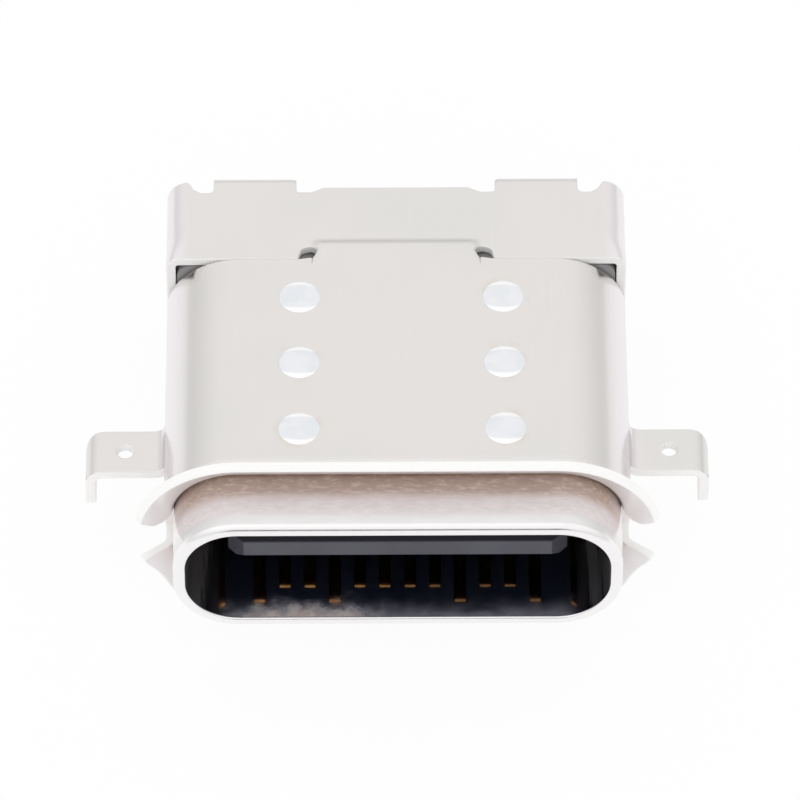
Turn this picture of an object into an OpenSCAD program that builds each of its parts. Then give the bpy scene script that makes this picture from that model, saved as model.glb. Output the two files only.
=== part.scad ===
// Sunk-mount type C socket with 24 contacts, real size, in millimetres.
// The origin is the centre of the mouth. +Y runs into the socket, +X is to the right and +Z is up.
// The board lies under the side tabs and under the rear cover.

/* [Mouth] */
// Width of the opening
mouth_w = 8.34; // [7.8:0.01:9.4]
// Height of the opening
mouth_h = 2.56; // [2.4:0.01:3]
// Radius of the opening's corners
mouth_r = 1.05; // [0.7:0.01:1.15]
// Depth from the mouth to the face that the plug stops at
cavity_depth = 6.2; // [5.9:0.05:6.4]

/* [Inner shell] */
// Wall of the drawn inner shell
tube_wall = 0.25; // [0.15:0.01:0.3]
// How far the inner shell reaches behind the face that the plug stops at
tube_past = 0.3; // [0.2:0.05:0.6]
// Rounding of the outer front edge
nose_r = 0.12; // [0.04:0.01:0.14]
// Rounding of the inner front edge
lip_r = 0.05; // [0.02:0.01:0.08]

/* [Outer shell] */
// Thickness of the stamped sheet
sheet = 0.2; // [0.15:0.01:0.25]
// How far the sheet wraps past the rear end of the inner shell
wrap_past = 0.32; // [0.1:0.01:0.4]
// Gap of the seam along the bottom
seam_gap = 0.05; // [0.02:0.01:0.1]

/* [Bell mouth] */
// Depth of the rim behind the mouth
rim_y = 1.04; // [0.7:0.01:1.3]
// Reach of the upper rim beyond the sheet's outer face
reach_top = 0.59; // [0.35:0.01:0.65]
// Reach of the lower rim beyond the sheet's outer face
reach_low = 0.48; // [0.35:0.01:0.6]
// Angle of the flare to the shell
flare_angle = 54; // [35:1:60]
// Radius of the bends on their inner side
bend_r = 0.13; // [0.08:0.01:0.2]
// Height of the upper edge of the side gap
gap_top = 0.35; // [0.28:0.01:0.5]
// Height of the lower edge of the side gap, below the centre
gap_low = 0.5; // [0.3:0.01:0.6]

/* [Side tabs] */
// Distance from the centre to the tabs' outer face
tab_out = 6.2; // [5.9:0.05:6.6]
// Height of the tabs' upper face
tab_top = 0; // [-0.2:0.01:0.05]
// Depth of the tabs' front edge
tab_front = 2.68; // [2.2:0.01:3.2]
// Width of a tab along the socket
tab_w = 1.05; // [0.9:0.01:1.4]
// Radius of the outer rear corner
tab_r = 0.38; // [0.2:0.01:0.4]
// Width of the slits beside a tab
tab_slit = 0.09; // [0.05:0.01:0.15]
// Radius of the hole in a tab
hole_r = 0.165; // [0.1:0.005:0.2]
// Distance of the hole from the tab's outer face
hole_inset = 0.79; // [0.6:0.01:0.9]
// How far the hole lies behind the middle of the tab
hole_back = 0.05; // [-0.1:0.01:0.1]
// Length of the solder legs below the board's upper face
leg_len = 0.84; // [0.5:0.01:1.6]

/* [Rear cover] */
// Slit between the wrapped shell and the cover
slit = 0.06; // [0.03:0.01:0.12]
// Length of the cover's side walls
cover_len = 2.09; // [1.9:0.01:2.4]
// How far the cover's top lies below the shell's top
cover_drop = 0.08; // [0.02:0.01:0.12]
// Outer radius of the cover's side bends
cover_r = 0.5; // [0.4:0.01:0.6]
// Width of the bridge that joins the cover to the shell
bridge_w = 3; // [2:0.05:3.4]
// Length of the bridge
bridge_len = 0.48; // [0.4:0.01:0.6]
// Radius of the relief holes beside the bridge
relief_r = 0.18; // [0.1:0.01:0.2]
// Distance from the centre to the inner edge of a rear flap
flap_in = 2; // [1.9:0.05:2.4]
// Width of a rear flap
flap_w = 1.68; // [1.2:0.01:1.7]
// How far the flaps' bend starts behind the edge that they hang from
flap_past = 0.12; // [0:0.01:0.2]
// Height of the lower edge of the rear flaps
flap_bottom = 0.3; // [0.1:0.01:0.6]
// Width of the relief notches beside a flap
notch_w = 0.3; // [0.2:0.01:0.32]
// Depth of these notches
notch_depth = 0.1; // [0.05:0.01:0.15]
// Length of the ramp down to the inner notch
ramp_w = 0.24; // [0.1:0.01:0.3]
// How far the top's rear edge lies in front of the side walls' ends
rear_inset = 0.17; // [0.05:0.01:0.2]
// Width of the rear legs
rear_leg_w = 0.6; // [0.4:0.01:0.8]

/* [Weld spots] */
// Diameter of a spot
weld_d = 0.82; // [0.5:0.01:1]
// Height of a spot's dome
weld_h = 0.03; // [0.01:0.005:0.06]
// Distance between the two rows
weld_span = 4.06; // [3:0.02:5]
// Sideways offset of the rows
weld_shift = 0.1; // [-0.15:0.01:0.15]
// Depth of the front pair
weld_front = 2.38; // [2.2:0.01:2.6]
// Distance from one pair to the next
weld_pitch = 1.71; // [1.2:0.01:1.8]

/* [Tongue] */
// Width of the tongue
tongue_w = 6.69; // [6.5:0.01:6.9]
// Thickness of the tongue
tongue_t = 0.7; // [0.6:0.01:0.9]
// Depth of the tongue's tip behind the mouth
tongue_tip = 0.74; // [0.6:0.01:1.1]
// Bevel along the tongue's front edges
tip_bevel = 0.16; // [0.05:0.01:0.18]
// Depth of the step at the tongue's root
root_len = 0.95; // [0.7:0.01:1.2]
// Thickness of the root
root_t = 1.3; // [1.2:0.01:1.4]
// How much wider the root is than the tongue
root_extra = 0.2; // [0:0.01:0.3]
// Clearance between the mouldings and the metal round them
fit = 0.02; // [0.01:0.005:0.04]

/* [Contacts] */
// Contacts in each row
contact_n = 12; // [12:1:12]
// Distance from one contact to the next
pitch = 0.5; // [0.45:0.01:0.5]
// Width of a contact
contact_w = 0.25; // [0.18:0.01:0.28]
// Thickness of a contact
contact_t = 0.12; // [0.1:0.01:0.14]
// Depth of the long contacts' tips behind the tongue's tip
long_tip = 0.4; // [0.35:0.01:0.6]
// Setback of the short contacts' tips
short_tip = 0.38; // [0.2:0.01:0.5]
// Distance of the front row of pins behind the front of the rear block
pin_front = 0.4; // [0.3:0.01:0.5]
// Distance of the rear row of pins behind the front of the rear block
pin_rear = 0.9; // [0.8:0.01:0.95]
// Length of the flat tails behind the rear block
tail_len = 1.05; // [0.8:0.05:1.3]

/* [Middle plate] */
// Thickness of the middle plate
plate_t = 0.15; // [0.1:0.01:0.18]
// Depth of the latch notches in its sides
latch_depth = 0.35; // [0.2:0.01:0.4]
// Width of the arms and legs at its rear
arm_w = 0.35; // [0.3:0.01:0.5]
// Length of a latch notch
latch_len = 0.95; // [0.6:0.01:1.1]
// Depth of the latch notch's front end behind the mouth
latch_y = 2.9; // [2.6:0.01:3.2]

/* [Ground plates] */
// Thickness of the ground plates on the root
ground_t = 0.1; // [0.08:0.01:0.15]
// Width of the ground plates
ground_w = 6.2; // [5.5:0.05:6.4]

/* [Hidden] */
$fn = 64;
// Pieces that an arc is drawn with in the bent strips
arc_steps = 6;
eps = 0.01;

long_contacts = [1, 4, 9, 12];
contact_ids = [for (i = [1:contact_n]) i];

// Centres of the corners that all the rounded outlines share.
corner_x = mouth_w / 2 - mouth_r;
corner_z = mouth_h / 2 - mouth_r;
tube_r = mouth_r + tube_wall;
shell_r = tube_r + sheet;
shell_half_w = corner_x + shell_r;
shell_top = corner_z + shell_r;
tube_len = cavity_depth + tube_past;
wrap_rear = tube_len + wrap_past;

board_z = tab_top - sheet;
leg_bottom = board_z - leg_len;
tab_rear = tab_front + tab_w;
bend_out = bend_r + sheet;

cover_front = wrap_rear + slit;
cover_rear = cover_front + cover_len;
cover_top = shell_top - cover_drop;
top_rear = cover_rear - rear_inset;
flap_out = flap_in + flap_w;
notch_y = top_rear - notch_depth;
flap_face = notch_y + flap_past + bend_out;

block_top = cover_top - sheet - fit;
block_half_w = shell_half_w - sheet - fit;
block_front = cover_front;
block_rear = cover_rear - sheet - bend_out - contact_t * 2;

contact_z = tongue_t / 2 - contact_t / 2;
long_y = tongue_tip + long_tip;
insert_half_w = (contact_n * pitch) / 2;
insert_front = long_y;
insert_rear = block_rear - 2 * contact_t;
insert_top = block_top - sheet;
root_w = tongue_w + root_extra;
foot_z = board_z + contact_t / 2;
run_z = min(foot_z, -(plate_t + contact_t) / 2);

function unit(v) = v / norm(v);
function left(v) = [-v[1], v[0]];
function turned(v, a) = [v[0] * cos(a) - v[1] * sin(a), v[0] * sin(a) + v[1] * cos(a)];
function reversed(list) = [for (i = [len(list) - 1:-1:0]) list[i]];
function arc(c, r, from, to) =
    [for (i = [0:arc_steps]) let (a = from + (to - from) * i / arc_steps) c + r * [cos(a), sin(a)]];

// One edge of a bent strip, at the distance side to the left of its middle line.
function bend_edge(a, b, c, r, side) =
    let (u = unit(b - a), v = unit(c - b),
         turn = sign(u[0] * v[1] - u[1] * v[0]),
         swing = acos(u * v),
         start = b - u * r * tan(swing / 2),
         centre = start + left(u) * r * turn)
    [for (i = [0:arc_steps])
        centre + turned(start - centre, swing * turn * i / arc_steps) * (1 - turn * side / r)];
function strip_edge(path, r, side) =
    let (last = len(path) - 1)
    concat(
        [path[0] + left(unit(path[1] - path[0])) * side],
        [for (i = [1:1:last - 1]) each bend_edge(path[i - 1], path[i], path[i + 1], r, side)],
        [path[last] + left(unit(path[last] - path[last - 1])) * side]
    );

// A strip of thickness t along a path, with bends of inner radius r.
module strip(path, r, t) {
    middle_r = r + t / 2;
    polygon(concat(strip_edge(path, middle_r, t / 2), reversed(strip_edge(path, middle_r, -t / 2))));
}

// A shape drawn in depth and height, made w wide across the socket.
module across(w) {
    rotate([90, 0, 90]) linear_extrude(w, center = true) children();
}

// A shape drawn across and up, run from one depth to another.
module along(from, to) {
    translate([0, to, 0]) rotate([90, 0, 0]) linear_extrude(to - from) children();
}

module both_sides() {
    for (side = [0, 1]) mirror([side, 0, 0]) children();
}

// A shape drawn in radius and depth, swept round the corner centres: upper half with the sides.
module sweep_upper() {
    both_sides() {
        translate([corner_x, 0, corner_z]) rotate([-90, 0, 0]) rotate([0, 0, -90])
            rotate_extrude(angle = 90) children();
        translate([corner_x, 0, -corner_z]) linear_extrude(2 * corner_z) children();
    }
    sweep_top() children();
}

// The straight stretch between the two upper corners.
module sweep_top() {
    translate([0, 0, corner_z]) rotate([0, -90, 0])
        linear_extrude(2 * corner_x, center = true) children();
}

// The same, swept round the lower corners and the bottom.
module sweep_lower() {
    mirror([0, 0, 1]) {
        both_sides() translate([corner_x, 0, corner_z]) rotate([-90, 0, 0]) rotate([0, 0, -90])
            rotate_extrude(angle = 90) children();
        sweep_top() children();
    }
}

// Outline of the mouth, shrunk by a gap.
module mouth_outline(gap) {
    r = mouth_r - gap;
    both_sides() for (low = [0, 1]) mirror([0, low, 0]) translate([corner_x, corner_z]) circle(r);
    square([2 * (corner_x + r), 2 * corner_z], center = true);
    square([2 * corner_x, 2 * (corner_z + r)], center = true);
}

module tube_profile() {
    polygon(concat(
        arc([mouth_r + lip_r, lip_r], lip_r, 180, 270),
        arc([tube_r - nose_r, nose_r], nose_r, 270, 360),
        [[tube_r, tube_len], [mouth_r, tube_len]]
    ));
}

module inner_shell() {
    color("gainsboro") {
        sweep_upper() tube_profile();
        sweep_lower() tube_profile();
    }
}

// Section of the wrapped sheet, from its rear edge to the flared rim.
module wrap_profile(reach) {
    middle = shell_r - sheet / 2;
    rim = [shell_r + reach - sheet / 2 * cos(flare_angle), rim_y - sheet / 2 * sin(flare_angle)];
    slope = (rim[0] - middle) / tan(flare_angle);
    strip([[middle, wrap_rear], [middle, rim[1] + slope], rim], bend_r, sheet);
}

// Gap in the flare on each side, cut back to the straight wall.
module side_gap() {
    gap_depth = rim_y + reach_top + bend_r;
    translate([corner_x + tube_r - eps, -eps, -gap_low]) cube([tab_out, gap_depth + eps, gap_low + gap_top]);
}

// Window in the wall that the tab was bent out of.
module tab_window() {
    translate([corner_x, tab_front - tab_slit, -shell_top - eps])
        cube([tab_out, tab_w + 2 * tab_slit, shell_top + eps + tab_top + bend_r]);
}

module tab() {
    wall = shell_half_w - sheet / 2;
    flat = tab_top - sheet / 2;
    outer = tab_out - sheet / 2;
    path = [[wall, tab_top + bend_out], [wall, flat], [outer, flat], [outer, leg_bottom]];
    difference() {
        along(tab_front, tab_rear) strip(path, bend_r, sheet);
        translate([tab_out - tab_r, tab_rear - tab_r, leg_bottom - eps]) difference() {
            cube([2 * tab_r, 2 * tab_r, leg_len + 2 * sheet]);
            cylinder(r = tab_r, h = leg_len + 2 * sheet);
        }
        translate([tab_out - bend_out, tab_rear - tab_r, leg_bottom - eps])
            cube([tab_r + bend_out, tab_r + eps, leg_len + sheet - bend_out]);
        translate([tab_out - hole_inset, (tab_front + tab_rear) / 2 + hole_back, board_z - eps])
            cylinder(r = hole_r, h = sheet + 2 * eps);
    }
}

// Section of the cover: flat top, two bends and two side walls standing on the board.
module cover_section() {
    inner_r = cover_r - sheet;
    difference() {
        union() {
            translate([-shell_half_w, board_z]) square([2 * shell_half_w, cover_top - cover_r - board_z]);
            translate([-shell_half_w + cover_r, board_z])
                square([2 * (shell_half_w - cover_r), cover_top - board_z]);
            both_sides() translate([shell_half_w - cover_r, cover_top - cover_r]) circle(cover_r);
        }
        translate([-shell_half_w + sheet, board_z - eps])
            square([2 * (shell_half_w - sheet), cover_top - cover_r - board_z + eps]);
        translate([-shell_half_w + cover_r, board_z - eps])
            square([2 * (shell_half_w - cover_r), cover_top - sheet - board_z + eps]);
        both_sides() translate([shell_half_w - cover_r, cover_top - cover_r]) circle(inner_r);
    }
}

// What is cut off the rear of the cover's top on one side: the edge, the flap's place and the notches.
module rear_cut() {
    ramp = flap_in - notch_w - ramp_w;
    past = cover_rear + sheet;
    translate([0, 0, cover_top - sheet - eps]) linear_extrude(sheet + 2 * eps)
        polygon([
            [-eps, top_rear], [ramp, top_rear], [flap_in - notch_w, notch_y], [flap_out, notch_y],
            [flap_out + notch_w, notch_y], [flap_out + notch_w, past], [-eps, past]
        ]);
    translate([flap_out + notch_w / 2, notch_y, cover_top - sheet - eps])
        cylinder(d = notch_w, h = sheet + 2 * eps);
}

module flap() {
    top = cover_top - sheet / 2;
    face = flap_face - sheet / 2;
    translate([(flap_in + flap_out) / 2, 0, 0]) across(flap_w)
        strip([[top_rear - notch_w, top], [face, top], [face, flap_bottom]], bend_r, sheet);
}

module rear_leg() {
    translate([shell_half_w - sheet, cover_rear - sheet - rear_leg_w, leg_bottom])
        cube([sheet, rear_leg_w, leg_len + eps]);
}

module cover() {
    difference() {
        along(cover_front, cover_rear) cover_section();
        translate([-bridge_w / 2, cover_front - eps, cover_top - sheet - eps])
            cube([bridge_w, bridge_len, sheet + 2 * eps]);
        both_sides() rear_cut();
    }
    both_sides() {
        flap();
        rear_leg();
    }
}

// The bridge steps down from the wrapped shell to the cover.
module bridge() {
    high = shell_top - sheet / 2;
    low = cover_top - sheet / 2;
    path = [
        [wrap_rear - sheet, high], [wrap_rear + bridge_len / 3, high],
        [wrap_rear + bridge_len * 2 / 3, low], [cover_front + bridge_len + sheet / 2, low]
    ];
    across(bridge_w) strip(path, bend_r, sheet);
}

module weld_dome() {
    r = (weld_d * weld_d / 4 + weld_h * weld_h) / (2 * weld_h);
    intersection() {
        translate([0, 0, weld_h - r]) sphere(r, $fn = 96);
        translate([0, 0, -sheet / 2]) cylinder(d = weld_d, h = sheet);
    }
}

module outer_shell() {
    color("silver") {
        difference() {
            union() {
                sweep_upper() wrap_profile(reach_top);
                sweep_lower() wrap_profile(reach_low);
            }
            both_sides() {
                side_gap();
                tab_window();
            }
            translate([-seam_gap / 2, 0, -shell_top - 1])
                cube([seam_gap, wrap_rear + eps, shell_top]);
        }
        difference() {
            union() {
                cover();
                bridge();
            }
            both_sides()
                translate([bridge_w / 2 + relief_r, cover_front + relief_r / 2, cover_top - sheet - eps])
                    cylinder(r = relief_r, h = sheet + cover_drop + 2 * eps);
        }
        both_sides() tab();
        for (row = [-1, 1]) for (i = [0:2])
            translate([weld_shift + row * weld_span / 2, weld_front + i * weld_pitch, shell_top]) weld_dome();
    }
}

// Tip depth of a contact, by its number in the row.
function tip_y(i) = long_y + (len(search(i, long_contacts)) > 0 ? 0 : short_tip);
function contact_x(i) = (i - (contact_n + 1) / 2) * pitch;

// An upper contact: along the tongue, down behind the block and out as a flat tail.
module upper_strip(i) {
    drop = block_rear + contact_t / 2;
    translate([contact_x(i), 0, 0]) across(contact_w)
        strip([[tip_y(i), contact_z], [drop, contact_z], [drop, foot_z], [block_rear + tail_len, foot_z]],
              contact_t / 2, contact_t);
}

// A lower contact: along the tongue, up to the board's level and down through the board.
module lower_strip(i) {
    rise = abs(run_z + contact_z);
    step_y = block_front - contact_t - rise;
    pin_y = block_front + (i % 2 == 0 ? pin_front : pin_rear);
    translate([contact_x(i), 0, 0]) across(contact_w)
        strip([[tip_y(i), -contact_z], [step_y, -contact_z], [step_y + rise, run_z],
               [pin_y, run_z], [pin_y, leg_bottom]], contact_t / 2, contact_t);
}

// The middle plate: a flat plate with latch notches, two arms and two legs through the board.
module middle_plate_solid() {
    half_w = tongue_w / 2;
    front = tongue_tip + 2 * tip_bevel;
    rear = block_front + arm_w;
    arm_in = tongue_w / 2 - arm_w;
    ear_out = block_half_w - sheet;
    difference() {
        translate([-half_w, front, -plate_t / 2]) cube([tongue_w, cavity_depth - front, plate_t]);
        latch_notches();
    }
    both_sides() {
        translate([arm_in, latch_y + latch_len + eps, -plate_t / 2])
            cube([half_w - arm_in, rear - latch_y - latch_len - eps, plate_t]);
        translate([arm_in, block_front, -plate_t / 2]) cube([ear_out - arm_in, arm_w, plate_t]);
        translate([ear_out - plate_t, block_front, leg_bottom])
            cube([plate_t, arm_w, plate_t / 2 - leg_bottom]);
    }
}

// Notches in the tongue's sides that the plug's latches snap into.
module latch_notches() {
    both_sides() translate([tongue_w / 2 - latch_depth, latch_y, -tongue_t])
        cube([latch_depth + eps, latch_len, 2 * tongue_t]);
}

// A plate on the root of the tongue: over the top and down the step.
module ground_plate_solid() {
    step_y = cavity_depth - root_len - ground_t / 2;
    across(ground_w)
        strip([[step_y, tongue_t / 2 + ground_t], [step_y, (root_t + ground_t) / 2],
               [cavity_depth + 2 * ground_t, (root_t + ground_t) / 2]], ground_t / 4, ground_t);
}

module all_upper_strips() {
    for (i = contact_ids) upper_strip(i);
}

module all_lower_strips() {
    for (i = contact_ids) lower_strip(i);
}

module upper_insert_body() {
    translate([-insert_half_w, insert_front, plate_t / 2])
        cube([2 * insert_half_w, block_front - insert_front, contact_z - contact_t / 2 - plate_t / 2]);
    translate([-insert_half_w, block_front - eps, plate_t / 2])
        cube([2 * insert_half_w, insert_rear - block_front + eps, insert_top - plate_t / 2]);
}

module lower_insert_body() {
    translate([-insert_half_w, insert_front, -contact_z + contact_t / 2])
        cube([2 * insert_half_w, block_front - insert_front, contact_z - contact_t / 2 - plate_t / 2]);
    translate([-insert_half_w, block_front - eps, board_z])
        cube([2 * insert_half_w, insert_rear - block_front + eps, -board_z - plate_t / 2]);
}

module tongue_body() {
    half_w = tongue_w / 2;
    half_t = tongue_t / 2;
    corner = 2 * tip_bevel;
    intersection() {
        across(tongue_w) polygon([
            [tongue_tip, half_t - tip_bevel], [tongue_tip + tip_bevel, half_t], [cavity_depth + eps, half_t],
            [cavity_depth + eps, -half_t], [tongue_tip + tip_bevel, -half_t], [tongue_tip, tip_bevel - half_t]
        ]);
        translate([0, 0, -tongue_t]) linear_extrude(2 * tongue_t) polygon([
            [-half_w + corner, tongue_tip - eps], [half_w - corner, tongue_tip - eps],
            [half_w, tongue_tip + corner], [half_w, cavity_depth + 2 * eps],
            [-half_w, cavity_depth + 2 * eps], [-half_w, tongue_tip + corner]
        ]);
    }
}

// Section of the rear block, shaped to sit under the cover.
module block_section() {
    r = cover_r - sheet - fit;
    translate([-block_half_w, board_z]) square([2 * block_half_w, block_top - r - board_z]);
    translate([-block_half_w + r, board_z]) square([2 * (block_half_w - r), block_top - board_z]);
    both_sides() translate([block_half_w - r, block_top - r]) circle(r);
}

module moulding_body() {
    difference() {
        tongue_body();
        latch_notches();
    }
    translate([-root_w / 2, cavity_depth - root_len, -root_t / 2]) cube([root_w, root_len + eps, root_t]);
    along(cavity_depth, block_front + eps) mouth_outline(fit);
    along(block_front, block_rear) block_section();
}

module tongue_moulding() {
    color("dimgray") difference() {
        moulding_body();
        upper_insert_body();
        lower_insert_body();
        middle_plate_solid();
        ground_plate_solid();
        mirror([0, 0, 1]) ground_plate_solid();
        all_upper_strips();
        all_lower_strips();
    }
}

module upper_insert() {
    color("darkslategray") difference() {
        upper_insert_body();
        all_upper_strips();
    }
}

module lower_insert() {
    color("darkslategray") difference() {
        lower_insert_body();
        all_lower_strips();
    }
}

module middle_plate() {
    color("silver") middle_plate_solid();
}

module upper_ground_plate() {
    color("silver") ground_plate_solid();
}

module lower_ground_plate() {
    color("silver") mirror([0, 0, 1]) ground_plate_solid();
}

inner_shell();
outer_shell();
tongue_moulding();
upper_insert();
lower_insert();
middle_plate();
upper_ground_plate();
lower_ground_plate();
for (i = contact_ids) color("gold") upper_strip(i);
for (i = contact_ids) color("gold") lower_strip(i);
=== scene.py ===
"""Sunk-mount type C socket: two metal shells, a moulded tongue and 24 contacts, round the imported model."""

import math

import bpy
import numpy as np
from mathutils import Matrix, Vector
from mathutils.geometry import delaunay_2d_cdt


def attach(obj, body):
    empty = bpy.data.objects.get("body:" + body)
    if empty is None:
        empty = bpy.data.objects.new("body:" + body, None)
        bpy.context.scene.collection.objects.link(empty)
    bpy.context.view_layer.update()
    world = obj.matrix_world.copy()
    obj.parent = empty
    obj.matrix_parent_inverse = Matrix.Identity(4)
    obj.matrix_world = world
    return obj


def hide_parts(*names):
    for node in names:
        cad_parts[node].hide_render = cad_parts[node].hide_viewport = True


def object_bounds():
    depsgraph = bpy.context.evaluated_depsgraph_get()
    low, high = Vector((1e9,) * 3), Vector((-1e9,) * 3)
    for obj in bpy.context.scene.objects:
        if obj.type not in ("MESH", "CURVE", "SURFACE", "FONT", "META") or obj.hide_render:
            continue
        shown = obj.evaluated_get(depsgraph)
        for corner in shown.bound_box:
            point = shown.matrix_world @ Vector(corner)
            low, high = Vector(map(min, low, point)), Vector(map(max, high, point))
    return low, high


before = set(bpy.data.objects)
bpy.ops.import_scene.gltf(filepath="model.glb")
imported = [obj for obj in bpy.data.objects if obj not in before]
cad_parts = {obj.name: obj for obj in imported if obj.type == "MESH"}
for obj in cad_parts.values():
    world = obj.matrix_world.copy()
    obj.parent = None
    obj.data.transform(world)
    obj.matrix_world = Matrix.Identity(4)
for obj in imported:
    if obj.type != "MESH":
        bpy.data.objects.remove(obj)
CAD_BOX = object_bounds()

MM = 0.001
QUARTER = math.pi / 2

# ---- sizes, in millimetres
# Rounded outline that both shells share: where its corner centres are.
CORNER_X = 3.12
CORNER_Z = 0.23

# Inner shell.
BORE_R = 1.05
TUBE_R = 1.30
TUBE_LEN = 6.5
NOSE_R = 0.14
LIP_R = 0.05
TUBE_BREAK = 0.03

# Outer shell: a sheet folded round the inner one.
SHEET = 0.20
HALF = SHEET / 2
WRAP_R = TUBE_R + HALF
SHELL_TOP = CORNER_Z + TUBE_R + SHEET
WRAP_REAR = 6.82
SEAM = 0.05
BEND_R = 0.13
BEND_MID = BEND_R + HALF
EDGE_R = 0.03

# Bell mouth. Its two halves part at a gap on each side.
RIM_Y = 1.04
REACH_TOP = 0.59
REACH_LOW = 0.48
FLARE = math.radians(54)
GAP_TOP = 0.35
GAP_LOW = 0.50
GAP_Y = 1.76
# Lower end of the upper rim: height, distance behind the rim and rounding of each corner.
UPPER_LOBE = ((0.60, 0.0, 0.12), (0.26, 0.38, 0.22), (0.24, 0.60, 0.10), (GAP_TOP, 0.84, 0.08))
# The lower rim is trimmed straight across its corner: angle round the corner, distance behind the rim.
LOWER_CHORD = ((27, 0.17), (48, 0.03), (65, 0.0))

# Side tabs.
TAB_OUT = 6.2
TAB_TOP = 0.0
TAB_FRONT = 2.71
TAB_REAR = 3.78
TAB_R = 0.38
TAB_SLIT = 0.12
TAB_FOLD_R = 0.22
TAB_HOLE_R = 0.165
TAB_HOLE_X = 5.41
TAB_HOLE_Y = 3.255
LEG_BOTTOM = -1.04

# Rear cover.
SLIT = 0.06
COVER_FRONT = 6.88
COVER_REAR = 8.97
COVER_TOP = 1.65
COVER_R = 0.50
COVER_R_FRONT = 0.26
COVER_R_RUN = 0.9
COVER_HALF_W = 4.62
COVER_EVEN = 3.62
BOARD_Z = -0.20
TOP_REAR = 8.80
NOTCH_Y = 8.70
NOTCH_W = 0.30
RAMP_W = 0.24
FLAP_IN = 2.0
FLAP_OUT = 3.68
FLAP_BOTTOM = 0.30
FLAP_START = 8.90
FLAP_MID = 0.15
BRIDGE_HALF = 1.50
BRIDGE_DROP = (0.38, 0.60)
BRIDGE_SIDE = 0.25
REAR_LEG = (8.17, 8.77)

# Weld spots.
WELD_D = 0.82
WELD_H = 0.03
WELD_SPAN = 4.06
WELD_SHIFT = 0.10
WELD_FRONT = 2.38
WELD_PITCH = 1.71
WELD_COUNT = 3

# Contacts.
CONTACT_COUNT = 12
CONTACT_W = 0.25
CONTACT_T = 0.12
CONTACT_Z = 0.29
TIP_RISE = 0.16
LONG_TIP = 1.14
SHORT_TIP = 1.52
PITCH = 0.5
FOOT_Z = -0.14
BLOCK_FRONT = 6.88
BLOCK_REAR = 8.20
TAIL_END = 9.25
PIN_FRONT = 7.28
PIN_REAR = 7.78
LONG_NUMBERS = (1, 4, 9, 12)
SHORT_NUMBERS = (2, 3, 5, 6, 7, 8, 10, 11)

# How finely the sheet is cut: along its outlines, round their corners, and clear of them.
OUTLINE_STEP = 0.12
ARC_STEP = 0.03
ARC_LEAST_R = 0.04
NEARLY_STRAIGHT = math.radians(88)
GRID_CLEAR = 0.045


# ---- small mesh helpers
def mesh_piece(name, points, faces, normals, materials, face_material):
    """A piece from points in millimetres, with its own smooth shading normals."""
    mesh = bpy.data.meshes.new(name)
    mesh.from_pydata((np.asarray(points) * MM).tolist(), [], [list(map(int, f)) for f in faces])
    for material in materials:
        mesh.materials.append(material)
    mesh.polygons.foreach_set("material_index", np.asarray(face_material, dtype=np.int32))
    mesh.polygons.foreach_set("use_smooth", np.ones(len(faces), dtype=bool))
    mesh.validate()
    mesh.normals_split_custom_set_from_vertices(np.asarray(normals).tolist())
    mesh.update()
    return linked(name, mesh)


def linked(name, data):
    """A new object in the scene, at the origin."""
    item = bpy.data.objects.new(name, data)
    bpy.context.scene.collection.objects.link(item)
    return item


def unit_rows(v):
    """Each row scaled to length one."""
    length = np.linalg.norm(v, axis=1, keepdims=True)
    return v / np.maximum(length, 1e-12)


def smooth_step(t):
    """From zero to one, level at both ends."""
    t = np.clip(t, 0.0, 1.0)
    return t * t * (3.0 - 2.0 * t)


def without_spares(points, normals, faces):
    """Drops the points that no face uses."""
    used = np.unique(np.concatenate([np.asarray(face) for face in faces]))
    number = np.zeros(len(points), dtype=int)
    number[used] = np.arange(len(used))
    return points[used], normals[used], [number[face].tolist() for face in faces]


def turned_out(points, normals, faces):
    """Faces put in the order that makes them look the way their normals point."""
    out = []
    for face in faces:
        p = points[face]
        n = np.cross(p[2] - p[0], p[-1] - p[1])
        want = normals[face].sum(axis=0)
        out.append(face if n @ want >= 0 else face[::-1])
    return out


# ---- the flat blank and how it folds
# A point of the blank is (u, v, w): u runs round the section from the top's middle, v from front to
# rear, w through the sheet from its middle layer. Both are arc lengths on the middle layer.
U_TOP = CORNER_X
U_SIDE = U_TOP + WRAP_R * QUARTER
U_LOW = U_SIDE + 2 * CORNER_Z
U_BASE = U_LOW + WRAP_R * QUARTER
U_END = U_BASE + CORNER_X - SEAM / 2

WALL_MID = COVER_HALF_W - HALF
FOLD_MID = TAB_FOLD_R + HALF
TAB_BEND_X = TAB_OUT - HALF - BEND_MID
U_FOLD = U_SIDE + CORNER_Z - TAB_FOLD_R
U_TAB = U_FOLD + FOLD_MID * QUARTER
U_TAB_BEND = U_TAB + TAB_BEND_X - (WALL_MID + FOLD_MID)
U_TAB_LEG = U_TAB_BEND + BEND_MID * QUARTER
U_TAB_END = U_TAB_LEG + TAB_TOP - HALF - BEND_MID - LEG_BOTTOM

COVER_BEND = COVER_R - HALF
U_COVER_TOP = COVER_HALF_W - COVER_R
U_COVER_SIDE = U_COVER_TOP + COVER_BEND * QUARTER
U_COVER_END = U_COVER_SIDE + COVER_TOP - COVER_R - BOARD_Z
U_LEG_END = U_COVER_END + BOARD_Z - LEG_BOTTOM
FLAP_END = FLAP_START + FLAP_MID * QUARTER + COVER_TOP - HALF - FLAP_MID - FLAP_BOTTOM


def rim_run(reach):
    """Where the flare's bend starts, and where its rim is along the blank."""
    rise = TUBE_R + SHEET + reach - HALF * math.cos(FLARE) - WRAP_R
    tangent = BEND_MID * math.tan(FLARE / 2)
    kink = RIM_Y - HALF * math.sin(FLARE) + rise / math.tan(FLARE)
    bend_start = kink + tangent
    run = BEND_MID * FLARE + rise / math.sin(FLARE) - tangent
    return bend_start, bend_start - run


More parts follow.
